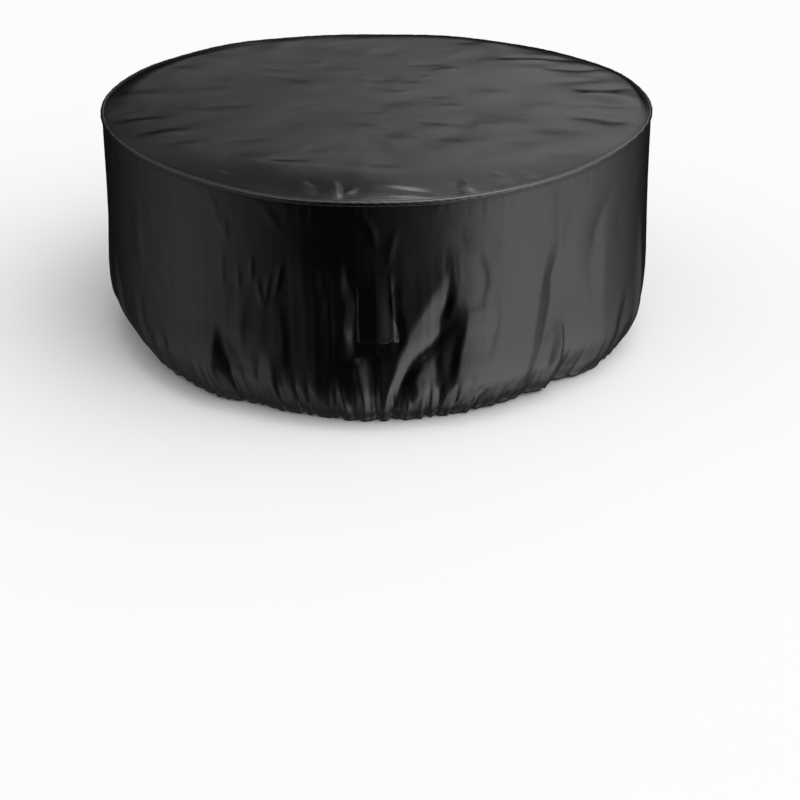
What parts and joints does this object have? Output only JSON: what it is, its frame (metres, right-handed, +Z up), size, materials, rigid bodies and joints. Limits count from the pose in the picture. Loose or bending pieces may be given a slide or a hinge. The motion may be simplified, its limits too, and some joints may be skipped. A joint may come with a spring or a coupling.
{
  "type": "patio furniture cover",
  "caption": "Round fitted cover of black coated cloth: flat top panel, piped rim seam, draped skirt gathered at the hem and a small sewn vent flap at the front; hollow and open below.",
  "frame": {"origin": "the middle of the top panel's underside, where the furniture under the cover holds it up", "axes": "+Z up; -Y is the front with the vent flap; +X is to the right seen from the front"},
  "size_m": [1.963, 1.9689, 0.8021],
  "materials": {
    "coated_cloth": "smooth black coated polyester, semi-gloss, with creases",
    "piping": "the same coated cloth wrapped round a soft cord, a little shinier along its crown"
  },
  "bodies": {
    "root": {"top_panel": "coated_cloth", "rim_welt": "piping", "skirt": "coated_cloth", "front_flap": "coated_cloth"}
  },
  "joints": []
}
